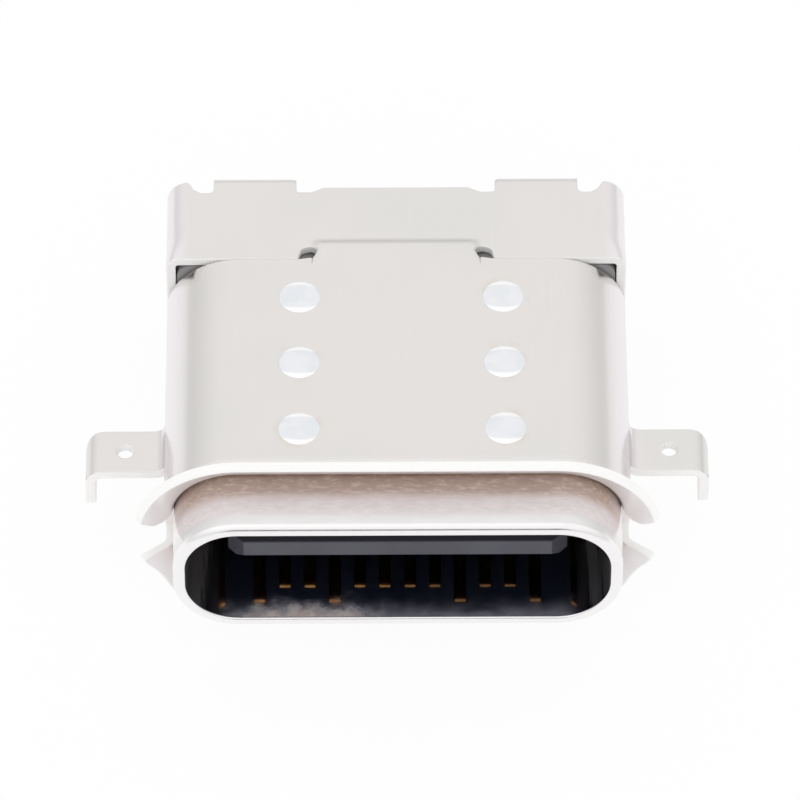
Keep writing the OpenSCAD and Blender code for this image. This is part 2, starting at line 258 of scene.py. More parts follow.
BEND_TOP, RIM_TOP = rim_run(REACH_TOP)
BEND_LOW, RIM_LOW = rim_run(REACH_LOW)


def flare_profile(start, v, w):
    """Distance from the corner centres and depth of a point of the sheet that flares from start on."""
    t = np.maximum(start - v, 0.0)
    angle = np.minimum(t / BEND_MID, FLARE)
    past = np.maximum(t - BEND_MID * FLARE, 0.0)
    radius = WRAP_R + BEND_MID * (1 - np.cos(angle)) + math.sin(FLARE) * past
    depth = np.where(t > 0, start - BEND_MID * np.sin(angle) - math.cos(FLARE) * past, v)
    return radius + w * np.cos(angle), depth + w * np.sin(angle)


def wrap_place(u, v, w):
    """The sheet wrapped round the inner shell, with its flared front."""
    side = np.sign(u) + (u == 0)
    a = np.abs(u)
    turn = np.clip((a - U_TOP) / WRAP_R, 0, QUARTER) + np.clip((a - U_LOW) / WRAP_R, 0, QUARTER)
    x = np.where(a < U_TOP, a, CORNER_X)
    x = np.where(a > U_BASE, CORNER_X - (a - U_BASE), x)
    z = CORNER_Z - np.clip(a - U_SIDE, 0, 2 * CORNER_Z)
    radius, depth = flare_profile(np.where(a < U_SIDE + CORNER_Z, BEND_TOP, BEND_LOW), v, w)
    return np.stack([side * (x + radius * np.sin(turn)), depth, z + radius * np.cos(turn)], axis=1)


def tab_place(u, v, w):
    """A side tab: bent out of the wall, flat on the board, then bent down as a leg."""
    t = np.abs(u)
    outward = np.clip((t - U_FOLD) / FOLD_MID, 0, QUARTER)
    downward = np.clip((t - U_TAB_BEND) / BEND_MID, 0, QUARTER)
    # First the middle layer, then the way through the sheet.
    x = WALL_MID + FOLD_MID * (1 - np.cos(outward)) + np.clip(t, U_TAB, U_TAB_BEND) - U_TAB
    x += BEND_MID * np.sin(downward)
    z = TAB_TOP + TAB_FOLD_R + np.maximum(U_FOLD - t, 0) - FOLD_MID * np.sin(outward)
    z -= BEND_MID * (1 - np.cos(downward)) + np.maximum(t - U_TAB_LEG, 0)
    x += w * (np.cos(outward) + np.sin(downward))
    z += w * (np.sin(outward) + np.cos(downward) - 1)
    return np.stack([np.sign(u) * x, v, z], axis=1)


def bridge_rise(u, v):
    """How far the middle layer of the bridge still stands above the cover's."""
    start, end = BRIDGE_DROP
    down = 1 - smooth_step((v - WRAP_REAR - start) / (end - start))
    beside = 1 - smooth_step((np.abs(u) - BRIDGE_HALF) / BRIDGE_SIDE)
    return (SHELL_TOP - COVER_TOP) * down * beside


def cover_place(u, v, w):
    """The box-shaped cover: flat top, two bends that are tighter in front, side walls and rear flaps."""
    side = np.sign(u) + (u == 0)
    a = np.abs(u)
    corner = COVER_R_FRONT + (COVER_R - COVER_R_FRONT) * smooth_step((v - COVER_FRONT) / COVER_R_RUN)
    bend = corner - HALF
    top_end = COVER_HALF_W - corner
    # From COVER_EVEN out, the flat top is drawn wider to meet the tighter bend in front.
    grown = COVER_EVEN + (a - COVER_EVEN) * (top_end - COVER_EVEN) / (U_COVER_TOP - COVER_EVEN)
    flat_x = np.where(a < COVER_EVEN, a, np.minimum(grown, top_end))
    turn = np.clip((a - U_COVER_TOP) / COVER_BEND, 0, QUARTER)
    wall = COVER_TOP - COVER_R - BOARD_Z
    past = np.maximum(a - U_COVER_SIDE, 0)
    fallen = np.where(past < wall, past * (COVER_TOP - corner - BOARD_Z) / wall, past + COVER_R - corner)
    x = flat_x + (bend + w) * np.sin(turn)
    z = COVER_TOP - corner + (bend + w) * np.cos(turn) - fallen
    flap = (a > FLAP_IN - SLIT) & (a < FLAP_OUT + SLIT)
    t = np.where(flap, np.maximum(v - FLAP_START, 0), 0)
    b = np.clip(t / FLAP_MID, 0, QUARTER)
    hanging = np.maximum(t - FLAP_MID * QUARTER, 0)
    y = np.where(t > 0, FLAP_START + (FLAP_MID + w) * np.sin(b), v)
    z = np.where(t > 0, COVER_TOP - HALF - FLAP_MID + (FLAP_MID + w) * np.cos(b) - hanging, z)
    return np.stack([side * x, y, z + bridge_rise(u, v)], axis=1)


FOLD_RULES = (wrap_place, tab_place, cover_place)
WRAP, TAB, COVER = range(len(FOLD_RULES))


def fold(u, v, w, zone):
    """Places of the blank's points once each part of it is folded by its own rule."""
    place = np.zeros((len(u), 3))
    for number, rule in enumerate(FOLD_RULES):
        chosen = zone == number
        if chosen.any():
            place[chosen] = rule(u[chosen], v[chosen], w[chosen])
    return place


def within_tab_slot(v):
    """Whether the slot round a side tab reaches this far along the blank."""
    return (v > TAB_FRONT - TAB_SLIT) & (v < TAB_REAR + TAB_SLIT)


def zone_of(u, v):
    """Which part of the blank a point belongs to."""
    a = np.abs(u)
    zone = np.full(len(u), WRAP)
    zone[v > WRAP_REAR + SLIT / 2] = COVER
    zone[(a > U_FOLD) & (a < U_BASE + 0.03) & within_tab_slot(v)] = TAB
    return zone


def folded_frame(u, v, w):
    """Places of the points, with the directions of u, of v and out of the sheet there."""
    h = 1e-4  # a step small enough to measure directions with
    zone = zone_of(u, v)
    place = fold(u, v, w, zone)
    along_u = unit_rows(fold(u + h, v, w, zone) - fold(u - h, v, w, zone))
    along_v = unit_rows(fold(u, v + h, w, zone) - fold(u, v - h, w, zone))
    out = unit_rows(np.cross(along_u, along_v))
    through = fold(u, v, w + h, zone) - place
    out *= np.where((out * through).sum(axis=1, keepdims=True) < 0, -1.0, 1.0)
    return place, along_u, along_v, out


# ---- outlines on the blank
def corner_arc(before, here, after, radius):
    """The points that stand for one corner of an outline: an arc, or the corner itself."""
    to_before = before - here
    to_after = after - here
    reach_before = np.linalg.norm(to_before)
    reach_after = np.linalg.norm(to_after)
    d0 = to_before / reach_before
    d1 = to_after / reach_after
    half_angle = math.acos(max(-1.0, min(1.0, float(d0 @ d1)))) / 2
    if radius <= 0 or half_angle > NEARLY_STRAIGHT:
        return [here]
    # An arc takes up less than half of the shorter side, so that it stays clear of the next one.
    cut = min(radius / math.tan(half_angle), 0.49 * min(reach_before, reach_after))
    radius = cut * math.tan(half_angle)
    centre = here + (d0 + d1) / np.linalg.norm(d0 + d1) * radius / math.sin(half_angle)
    a0 = math.atan2(*(here + d0 * cut - centre)[::-1])
    a1 = math.atan2(*(here + d1 * cut - centre)[::-1])
    swing = (a1 - a0 + math.pi) % (2 * math.pi) - math.pi
    pieces = max(3, int(abs(swing) * max(radius, ARC_LEAST_R) / ARC_STEP))
    angles = [a0 + swing * k / pieces for k in range(pieces + 1)]
    return [centre + radius * np.array([math.cos(angle), math.sin(angle)]) for angle in angles]


def split_sides(corners, step):
    """A closed outline with every side cut into even steps. Rows may carry more than a place."""
    dense = []
    for a, b in zip(corners, corners[1:] + corners[:1]):
        gap = np.linalg.norm((b - a)[:2])
        splits = max(1, int(math.ceil(gap / step)))
        dense += [a + (b - a) * k / splits for k in range(splits)]
    return np.array(dense)


def rounded(points, step):
    """A closed outline from (u, v, corner radius): its corners become arcs, its sides are cut into steps."""
    places = [np.array(point[:2], float) for point in points]
    corners = []
    for i, (_, _, radius) in enumerate(points):
        corners += corner_arc(places[i - 1], places[i], places[(i + 1) % len(points)], radius)
    following = corners[1:] + corners[:1]
    kept = [a for a, b in zip(corners, following) if np.linalg.norm(b - a) >= 1e-5]
    return split_sides(kept, step)


def gap_edge(height, v):
    """Where, along u, a level cut at this height crosses the flared sheet at v."""
    low = height < 0
    radius, _ = flare_profile(BEND_LOW if low else BEND_TOP, v, 0.0)
    turn = math.asin((abs(height) - CORNER_Z) / radius)
    if low:
        return U_LOW + WRAP_R * turn
    return U_SIDE - WRAP_R * turn


def blank_outline():
    """The blank's outer edge, from the front's middle round to the rear's middle and back."""
    right = [(0, RIM_TOP, 0)]
    for height, past_rim, radius in UPPER_LOBE:
        right.append((gap_edge(height, RIM_TOP + past_rim), RIM_TOP + past_rim, radius))
    right += [(gap_edge(height, GAP_Y), GAP_Y, 0.06) for height in (GAP_TOP, -GAP_LOW)]
    right += [(gap_edge(-GAP_LOW, v), v, 0.2) for v in (BEND_LOW, RIM_LOW + 0.5, RIM_LOW + 0.25)]
    right.append((gap_edge(-GAP_LOW, RIM_LOW), RIM_LOW - 0.06, 0.04))
    for degrees, past_rim in LOWER_CHORD:
        right.append((U_LOW + WRAP_R * math.radians(degrees), RIM_LOW + past_rim, 1.0))
    # The relief cut beside the bridge, between the wrap and the cover, ends in a leaf shape.
    leaf_in = BRIDGE_HALF + 0.06
    leaf_out = leaf_in + 0.38
    right += [
        (U_END, RIM_LOW, 0.03),
        (U_END, WRAP_REAR, 0.03),
        (leaf_out + 0.02, WRAP_REAR, 0.04),
        (leaf_in + 0.14, WRAP_REAR + 0.04, 0.08),
        (leaf_in, WRAP_REAR + 0.27, 0.08),
        (leaf_in + 0.16, WRAP_REAR + 0.40, 0.10),
        (leaf_out - 0.03, WRAP_REAR + 0.33, 0.12),
        (leaf_out + 0.03, COVER_FRONT, 0.03),
    ]
    # The cover: wall, rear leg, rear edge, the notch outside the flap, the flap, the notch inside it.
    right += [
        (U_COVER_END, COVER_FRONT, 0.05),
        (U_COVER_END, REAR_LEG[0], 0.05),
        (U_LEG_END, REAR_LEG[0], 0.15),
        (U_LEG_END, REAR_LEG[1], 0.15),
        (U_COVER_END, REAR_LEG[1], 0.05),
        (U_COVER_END, COVER_REAR, 0.05),
        (FLAP_OUT + 0.50, COVER_REAR, 0.10),
        (FLAP_OUT + 0.40, NOTCH_Y + 0.06, 0.10),
        (FLAP_OUT + 0.26, NOTCH_Y - 0.03, 0.12),
        (FLAP_OUT, NOTCH_Y - 0.03, 0.10),
        (FLAP_OUT, FLAP_END, 0.12),
        (FLAP_IN, FLAP_END, 0.12),
        (FLAP_IN, NOTCH_Y - 0.02, 0.06),
        (FLAP_IN - NOTCH_W, NOTCH_Y - 0.02, 0.1),
        (FLAP_IN - NOTCH_W - RAMP_W, TOP_REAR, 0.1),
        (0, TOP_REAR, 0),
    ]
    left = [(-u, v, r) for u, v, r in reversed(right[1:-1])]
    return right + left


def tab_window():
    """The slot round a side tab, which frees the strip that the tab is made of."""
    top = U_FOLD + 0.12
    bottom = U_BASE + 0.06
    root_r = 0.105
    tip_r = 0.16
    path = [
        (top, TAB_FRONT - TAB_SLIT, 0.01),
        (bottom, TAB_FRONT - TAB_SLIT, 0.05),
        (bottom, TAB_REAR + TAB_SLIT, 0.05),
        (top, TAB_REAR + TAB_SLIT, 0.01),
        (top, TAB_REAR, root_r),
        (top + 0.20, TAB_REAR, 0.3),
    ]
    # The outer rear corner is round in plan, so its arc is stretched by the bend it runs over.
    corner_u = U_TAB + TAB_OUT - TAB_R - (WALL_MID + FOLD_MID)
    steps = 8
    for k in range(steps + 1):
        a = QUARTER * k / steps
        u = corner_u + (U_TAB_LEG - corner_u) * math.sin(a)
        path.append((u, TAB_REAR - TAB_R + TAB_R * math.cos(a), 0))
    path.append((U_TAB_END, TAB_REAR - TAB_R, tip_r))
    path.append((U_TAB_END, TAB_FRONT, tip_r))
    path.append((top, TAB_FRONT, root_r))
    return path


def circle(u, v, radius, count):
    """A round hole in the blank."""
    angles = 2 * math.pi * np.arange(count) / count
    return np.stack([u + radius * np.cos(angles), v + radius * np.sin(angles)], axis=1)


def mirrored(loop):
    """The same outline on the blank's other half."""
    return (loop * (-1, 1))[::-1]


def blank_loops():
    """The blank's outer edge, then its slots and holes."""
    window = rounded(tab_window(), OUTLINE_STEP)
    hole_u = U_TAB + TAB_HOLE_X - (WALL_MID + FOLD_MID)
    hole = circle(hole_u, TAB_HOLE_Y, TAB_HOLE_R, 32)
    return [rounded(blank_outline(), OUTLINE_STEP), window, mirrored(window), hole, mirrored(hole)]


def inside(points, loops):
    """Which points lie within the outlines, holes counted out."""
    hit = np.zeros(len(points), dtype=bool)
    x, y = points.T
    for loop in loops:
        for (ax, ay), (bx, by) in zip(loop, np.roll(loop, -1, axis=0)):
            if ay == by:
                continue
            cross = (ay > y) != (by > y)
            hit ^= cross & (x < (bx - ax) * (y - ay) / (by - ay) + ax)
    return hit


def miter_inward(loop, hole):
    """Direction and reach that move every side of a loop into the sheet by one unit."""
    d0 = unit_rows(loop - np.roll(loop, 1, axis=0))
    d1 = unit_rows(np.roll(loop, -1, axis=0) - loop)
    n0 = np.stack([-d0[:, 1], d0[:, 0]], axis=1)
    n1 = np.stack([-d1[:, 1], d1[:, 0]], axis=1)
    x, y = loop.T
    area = 0.5 * np.sum(x * np.roll(y, -1) - np.roll(x, -1) * y)
    sign = 1.0 if (area > 0) != hole else -1.0
    mid = unit_rows(n0 + n1)
    scale = 1.0 / np.maximum((mid * n1).sum(axis=1, keepdims=True), 0.6)
    return sign * mid, sign * mid * scale


def far_from(points, loops, least):
    """Points that keep a distance from every outline."""
    keep = np.ones(len(points), dtype=bool)
    for loop in loops:
        for a, b in zip(loop, np.roll(loop, -1, axis=0)):
            d = b - a
            near = keep & (np.abs(points[:, 0] - (a[0] + b[0]) / 2) < 0.5 + least)
            if not near.any():
                continue
            rel = points[near] - a
            t = np.clip(rel @ d / max(float(d @ d), 1e-12), 0, 1)
            gap = np.linalg.norm(rel - t[:, None] * d, axis=1)
            keep[np.nonzero(near)[0][gap < least]] = False
    return keep


def spaced(stops, steps):
    """Numbers from stop to stop, each stretch cut into even steps of about its own size."""
    out = [stops[0]]
    for a, b, step in zip(stops[:-1], stops[1:], steps):
        count = max(1, int(math.ceil((b - a) / step)))
        out += [a + (b - a) * k / count for k in range(1, count + 1)]
    return out


def both_halves(half):
    """Numbers from zero up, with their negatives, in order."""
    return np.array(sorted([-u for u in half if u > 0] + half))


def crossed(us, vs):
    """Every pairing of the given u and v."""
    return np.array([(u, v) for u in us for v in vs])


def inner_points():
    """Points within the blank: close together where it bends, wide apart where it is flat."""
    bend = BEND_MID * FLARE
    rim_steps = [0.11, 0.026, 0.3]
    wrap = both_halves(spaced([0, U_TOP, U_SIDE, U_LOW, U_BASE, U_END], [0.3, 0.085, 0.12, 0.085, 0.3]))
    upper = np.abs(wrap) < U_SIDE + CORNER_Z
    cover_stops = [0, FLAP_IN - 0.1, FLAP_OUT + 0.1, U_COVER_TOP, U_COVER_SIDE, U_LEG_END]
    cover = both_halves(spaced(cover_stops, [0.15, 0.2, 0.1, 0.06, 0.25]))
    flap_stops = [NOTCH_Y, FLAP_START, FLAP_START + FLAP_MID * QUARTER, FLAP_END - 0.036]
    points = np.concatenate([
        crossed(wrap[upper], spaced([RIM_TOP, BEND_TOP - bend, BEND_TOP, WRAP_REAR], rim_steps)),
        crossed(wrap[~upper], spaced([RIM_LOW, BEND_LOW - bend, BEND_LOW, WRAP_REAR], rim_steps)),
        crossed(cover, spaced([COVER_FRONT, 7.5, NOTCH_Y], [0.06, 0.25])),
        crossed(cover, spaced(flap_stops, [0.12, 0.035, 0.25])[1:]),
    ])
    a = np.abs(points[:, 0])
    in_slot = (a > U_FOLD - 0.01) & (a < U_BASE + 0.2) & within_tab_slot(points[:, 1])
    along_tab = spaced([U_FOLD, U_TAB, U_TAB_BEND, U_TAB_LEG, U_BASE], [0.04, 0.2, 0.04, 0.2])
    right_tab = crossed(along_tab, spaced([TAB_FRONT, TAB_REAR], [0.15]))
    return np.concatenate([points[~in_slot], right_tab * (-1, 1), right_tab])


# ---- the outer shell
# Rounding of a cut edge, from the outer face to the inner one: distance into the sheet, height, tilt.
EDGE_TILTS = (0.0, 0.35, 0.75, 1.15, QUARTER)
OUTER_EDGE = [(EDGE_R * (1 - math.sin(a)), HALF - EDGE_R + EDGE_R * math.cos(a), a) for a in EDGE_TILTS]
EDGE_PROFILE = OUTER_EDGE + [(inset, -w, math.pi - a) for inset, w, a in reversed(OUTER_EDGE)]
# This many bands of the rounding, next to each face, still have the face's finish.
FACE_BANDS = 2


def flat_sheet(loops):
    """The blank cut into triangles: its points, the triangles, and which point each border point became."""
    grid = inner_points()
    grid = grid[inside(grid, loops)]
    grid = grid[far_from(grid, loops, GRID_CLEAR)]
    edges = []
    at = 0
    for loop in loops:
        edges += [(at + k, at + (k + 1) % len(loop)) for k in range(len(loop))]
        at += len(loop)
    seeds = [Vector(p) for p in np.concatenate([*loops, grid]).tolist()]
    made = delaunay_2d_cdt(seeds, edges, [], 0, 1e-7)
    points = np.array([tuple(p) for p in made[0]])
    triangles = np.array([t for t in made[2] if len(t) == 3])
    became = np.zeros(len(seeds), dtype=int)
    for number, sources in enumerate(made[3]):
        became[list(sources)] = number
    return points, triangles[inside(points[triangles].mean(axis=1), loops)], became


def stamped_shell(name, face_finish, edge_finish):
    """The outer shell, stamped as one flat blank and folded."""
    loops = blank_loops()
    miters = [miter_inward(loop, number > 0) for number, loop in enumerate(loops)]
    flat_loops = [loop + reach * EDGE_R for loop, (_, reach) in zip(loops, miters)]
    flat, triangles, became = flat_sheet(flat_loops)
    points = []
    normals = []
    for side in (1.0, -1.0):
        place, _, _, out = folded_frame(*flat.T, np.full(len(flat), side * HALF))
        points.append(place)
        normals.append(side * out)
    faces = triangles.tolist() + (triangles + len(flat)).tolist()
    finish = [0] * len(faces)
    bands = len(EDGE_PROFILE) - 1
    border_at = 0
    base = 2 * len(flat)
    for loop, (inward, reach) in zip(loops, miters):
        size = len(loop)
        for inset, w, tilt in EDGE_PROFILE:
            place, along_u, along_v, out = folded_frame(*(loop + reach * inset).T, np.full(size, w))
            edge_out = unit_rows(-inward[:, :1] * along_u - inward[:, 1:] * along_v)
            points.append(place)
            normals.append(unit_rows(math.cos(tilt) * out + math.sin(tilt) * edge_out))
        rows = [base + k * size + np.arange(size) for k in range(len(EDGE_PROFILE))]
        rows[0] = became[border_at:border_at + size]
        rows[-1] = len(flat) + rows[0]
        border_at += size
        base += size * len(EDGE_PROFILE)
        for band in range(bands):
            near_face = band < FACE_BANDS or band >= bands - FACE_BANDS
            here, below = rows[band], rows[band + 1]
            faces += np.stack([here, np.roll(here, -1), np.roll(below, -1), below], axis=1).tolist()
            finish += [0 if near_face else 1] * size
    points, normals, faces = without_spares(np.concatenate(points), np.concatenate(normals), faces)
    faces = turned_out(points, normals, faces)
    return mesh_piece(name, points, faces, normals, [face_finish, edge_finish], finish)


# ---- the drawn inner shell
def section_ring(step):
    """Corner centre and outward direction of points round the rounded outline."""
    ring = []
    quarter_steps = 26
    for sx, sz, start in ((1, 1, 0), (1, -1, 90), (-1, -1, 180), (-1, 1, 270)):
        for k in range(quarter_steps + 1):
            turn = math.radians(start + 90 * k / quarter_steps)
            ring.append(np.array((sx * CORNER_X, sz * CORNER_Z, math.sin(turn), math.cos(turn))))
    return split_sides(ring, step)


def quarter_profile(radius, depth, bend, start, steps):
    """A quarter bend of a profile: radius, depth and direction of its points, all of the outer finish."""
    rows = []
    for k in range(steps + 1):
        a = math.radians(start + 90 * k / steps)
        rows.append((radius + bend * math.cos(a), depth + bend * math.sin(a), math.cos(a), math.sin(a), 0))
    return rows


def drawn_tube(name, finishes):
    """The inner shell: a rounded tube with a rounded nose, bright outside and painted darker inside as
    painted shade.
    """
    ring = section_ring(0.35)
    profile = quarter_profile(BORE_R + LIP_R, LIP_R, LIP_R, 180, 6)
    profile += quarter_profile(TUBE_R - NOSE_R, NOSE_R, NOSE_R, 270, 10)
    profile += [(TUBE_R, y, 1, 0, 0) for y in (0.5, 1.0, 1.6, 3.0, 4.5, TUBE_LEN - TUBE_BREAK)]
    profile.append((TUBE_R - TUBE_BREAK, TUBE_LEN, 0, 1, 0))
    profile.append((BORE_R + TUBE_BREAK, TUBE_LEN, 0, 1, 1))
    profile += [(BORE_R, y, -1, 0, 1) for y in (TUBE_LEN - TUBE_BREAK, 4.5, 3.0, 2.2, 1.5, 0.8, 0.3)]
    profile = np.array(profile)
    rows = len(profile)
    cols = len(ring)
    cx, cz, dx, dz = (ring[:, k][None, :] for k in range(4))
    r, y, nr, ny = (profile[:, k][:, None] for k in range(4))
    points = np.stack([cx + r * dx, y + 0 * dx, cz + r * dz], axis=2).reshape(-1, 3)
    normals = np.stack([nr * dx, ny + 0 * dx, nr * dz], axis=2).reshape(-1, 3)
    grid = np.arange(rows * cols).reshape(rows, cols)
    faces = []
    finish = []
    for i in range(rows):
        here, following = grid[i], grid[(i + 1) % rows]
        faces += np.stack([here, np.roll(here, -1), np.roll(following, -1), following], axis=1).tolist()
        finish += [1 if profile[i, 4] == 1 or i == rows - 1 else 0] * cols
    return mesh_piece(name, points, turned_out(points, normals, faces), normals, finishes, finish)


# ---- nodes
class Nodes:
    """Short ways to add nodes to a tree and to wire them."""

    def __init__(self, tree):
        self.tree = tree

    def feed(self, socket, value):
        """Gives a socket a value or another node's output. A colour may leave out its opacity."""
        if isinstance(value, bpy.types.NodeSocket):
            self.tree.links.new(value, socket)
        elif socket.type == "RGBA":
            socket.default_value = (*value, 1.0)
        else:
            socket.default_value = value

    def node(self, kind, wires=None, **settings):
        node = self.tree.nodes.new(kind)
        for key, value in settings.items():
            setattr(node, key, value)
        for key, value in (wires or {}).items():
            self.feed(node.inputs[key], value)
        return node

    def math(self, operation, a, b=0.0):
        return self.node("ShaderNodeMath", {0: a, 1: b}, operation=operation).outputs[0]

    def remap(self, value, low, high, to_low=0.0, to_high=1.0):
        """A smooth step from one range of values to another."""
        wires = {"Value": value, "From Min": low, "From Max": high, "To Min": to_low, "To Max": to_high}
        return self.node("ShaderNodeMapRange", wires, interpolation_type="SMOOTHSTEP").outputs["Result"]

    def fade(self, value, low, high, from_share=1.0):
        """A smooth step down to nothing."""
        return self.remap(value, low, high, from_share, 0.0)

    def shaken(self, value, noise, reach):
        """A value moved to and fro by a noise, over this reach in all."""
        return self.math("ADD", value, self.math("MULTIPLY", self.math("SUBTRACT", noise, 0.5), reach))


class Finish(Nodes):
    """A material: a Principled shader fed with patterns that sit on the part itself."""

    def __init__(self, name, metallic=1.0):
        self.material = bpy.data.materials.new(name)
        self.material.use_nodes = True
        super().__init__(self.material.node_tree)
        self.shader = self.tree.nodes["Principled BSDF"]
        self.give("Metallic", metallic)
        self.place = self.node("ShaderNodeTexCoord").outputs["Object"]

    def give(self, socket, value):
        """A value or pattern for one of the shader's own sockets."""
        self.feed(self.shader.inputs[socket], value)

    def axes(self):
        """The place on the part along each axis, in millimetres."""
        scaled = self.node("ShaderNodeVectorMath", {0: self.place, "Scale": 1 / MM}, operation="SCALE")
        return self.node("ShaderNodeSeparateXYZ", {"Vector": scaled.outputs[0]}).outputs

    def noise(self, scale, detail, rough=0.55, stretch=(1, 1, 1)):
        """Noise with features of about 1/scale of a metre."""
        where = self.node("ShaderNodeMapping", {"Vector": self.place, "Scale": stretch}).outputs["Vector"]
        wires = {"Vector": where, "Scale": scale, "Detail": detail, "Roughness": rough}
        return self.node("ShaderNodeTexNoise", wires).outputs["Fac"]

    def blend(self, share, a, b):
        """One colour over another by a share."""
        return self.node("ShaderNodeMix", {"Factor": share, 6: a, 7: b}, data_type="RGBA").outputs[2]

    def mottle(self, noise, low, high, a, b):
        """Two colours that a noise mixes."""
        return self.blend(self.remap(noise, low, high), a, b)

    def band(self, value, rise, full, fade, end):
        """A share that is one between two places and nothing beyond them."""
        return self.math("MULTIPLY", self.remap(value, rise, full), self.fade(value, fade, end))

    def uneven(self, noise, low, high, smooth, rough):
        """Roughness that varies with a noise."""
        self.give("Roughness", self.remap(noise, low, high, smooth, rough))

    def bump(self, height, strength, distance):
        """Tiny relief, its depth in millimetres."""
        wires = {"Strength": strength, "Distance": distance * MM, "Height": height}
        self.give("Normal", self.node("ShaderNodeBump", wires).outputs["Normal"])


# ---- materials
# Where the finishes change, in millimetres: across (x), from the front (y) or up (z).
SPOTS_Y = (1.5, 1.6, 6.5, 6.6)
SIDE_REFLECTION_X = (4.1, 4.5, 4.6, 4.8)
FLARE_LIGHT_Y = (1.3, 1.7)
NOSE_HIGHLIGHT_Y = (0.11, 0.16)
REFLECTION_BAND_Y = (0.30, 0.48)
SHADE_AND_HEAT_Y = (0.68, 0.98)
TUBE_SIDE_X = (4.1, 4.46)
BORE_SIDE_X = (3.2, 4.0)
BORE_FLOOR_Z = (-1.3, -1.1)
MOUTH_LIGHT_Y = (-0.1, 0.7)
MOUTH_LIGHT_X = -1.8
TONGUE_TOP_Z = (0.19, 0.22)
TONGUE_UNDER_Z = (-0.34, -0.30)
SHOULDER_Y = (6.4, 6.8, 7.1, 7.4)
GLINT_TINT_Y = (1.8, 2.4)
GLINT_FADE_X = (-1.6, 1.4)


def spot_distance(f, x, y, flatten=1.0):
    """Distance from the nearest weld spot's centre, counted in its radius."""
    across = f.math("ABSOLUTE", f.math("SUBTRACT", x, WELD_SHIFT))
    across = f.math("MULTIPLY", f.math("SUBTRACT", across, WELD_SPAN / 2), flatten)
    along = f.math("MODULO", f.math("SUBTRACT", y, WELD_FRONT - WELD_PITCH / 2), WELD_PITCH)
    along = f.math("SUBTRACT", along, WELD_PITCH / 2)
    squares = f.math("ADD", f.math("MULTIPLY", across, across), f.math("MULTIPLY", along, along))
    far = f.math("MULTIPLY", f.math("SQRT", squares), 2 / WELD_D)
    # In front of the first row and behind the last one there is no spot.
    before = f.fade(y, *SPOTS_Y[:2], 9.0)
    behind = f.remap(y, *SPOTS_Y[2:], 0.0, 9.0)
    return f.math("ADD", far, f.math("ADD", before, behind))


def bright_sheet():
    """Nickel-plated sheet: pale warm silver, faintly clouded, with rolling grain along the shell. Its side
    walls carry a painted reflection and its flared front painted light.
    """
    f = Finish("nickel_sheet")
    x, y, _ = f.axes()
    grain = f.noise(9000, 4.0, 0.6, (1, 0.10, 1))
    base = f.mottle(f.noise(260, 2.0), 0.35, 0.65, (0.765, 0.748, 0.728), (0.785, 0.757, 0.745))
    base = f.blend(f.remap(grain, 0.3, 0.7, 0, 0.05), base, (0.70, 0.68, 0.65))
    # Painted reflection: the side walls are painted a paler lavender for the way their bends reflect.
    side_reflection = f.band(f.math("ABSOLUTE", x), *SIDE_REFLECTION_X)
    base = f.blend(side_reflection, base, (0.86, 0.825, 0.845))
    # Painted light: the flared front is painted paler and made less metallic, so its inner face looks lit.
    flared = f.fade(y, *FLARE_LIGHT_Y)
    base = f.blend(flared, base, (0.97, 0.945, 0.955))
    f.give("Metallic", f.math("SUBTRACT", 1.0, f.math("MULTIPLY", flared, 0.85)))
    # Heat tint in patches round the weld spots.
    halo = f.fade(spot_distance(f, x, y), 1.0, 1.45)
    halo = f.math("MULTIPLY", halo, f.remap(f.noise(1500, 2.0), 0.5, 0.65, 0.0, 0.5))
    f.give("Base Color", f.blend(halo, base, (0.74, 0.66, 0.57)))
    f.uneven(grain, 0.25, 0.75, 0.21, 0.26)
    f.bump(grain, 0.015, 0.02)
    return f.material


def cut_edge():
    """Sheared edge of the sheet: brighter and rougher than its faces."""
    f = Finish("sheared_edge", 0.2)
    grain = f.noise(14000, 3.0)
    f.give("Base Color", f.mottle(grain, 0.3, 0.7, (0.97, 0.965, 0.95), (0.99, 0.985, 0.97)))
    f.uneven(grain, 0.3, 0.7, 0.42, 0.55)
    f.bump(grain, 0.04, 0.02)
    return f.material


def drawn_steel():
    """Drawn steel of the inner shell: a painted highlight at the nose, a paler band of painted reflection
    behind it, and painted shade with heat tint under the bell mouth.
    """
    f = Finish("drawn_steel")
    x, y, _ = f.axes()
    streaks = f.noise(2600, 4.0, 0.6, (0.3, 1, 1))
    specks = f.noise(14000, 4.0, 0.65, (0.35, 1, 1))
    bright = f.mottle(streaks, 0.35, 0.65, (0.85, 0.835, 0.83), (0.82, 0.805, 0.80))
    # Painted reflection: a paler lavender band is painted behind the nose.
    pale_reflection_band = f.mottle(specks, 0.35, 0.65, (0.96, 0.91, 0.91), (0.86, 0.81, 0.81))
    # Painted shade with heat tint: under the bell mouth the tube is painted brown, darker than its steel.
    shade_and_heat_tint = f.mottle(specks, 0.45, 0.70, (0.64, 0.52, 0.46), (0.86, 0.75, 0.66))
    depth = f.shaken(y, streaks, 0.3)
    base = f.blend(f.remap(depth, *REFLECTION_BAND_Y), bright, pale_reflection_band)
    off_sides = f.remap(f.math("ABSOLUTE", x), *TUBE_SIDE_X, 1.0, 0.3)
    base = f.blend(f.math("MULTIPLY", f.remap(depth, *SHADE_AND_HEAT_Y), off_sides), base, shade_and_heat_tint)
    # Painted highlight: the nose is painted paler than the rest of the tube.
    f.give("Base Color", f.blend(f.fade(y, *NOSE_HIGHLIGHT_Y), base, (0.93, 0.915, 0.92)))
    f.uneven(specks, 0.25, 0.75, 0.16, 0.26)
    f.bump(streaks, 0.05, 0.03)
    return f.material


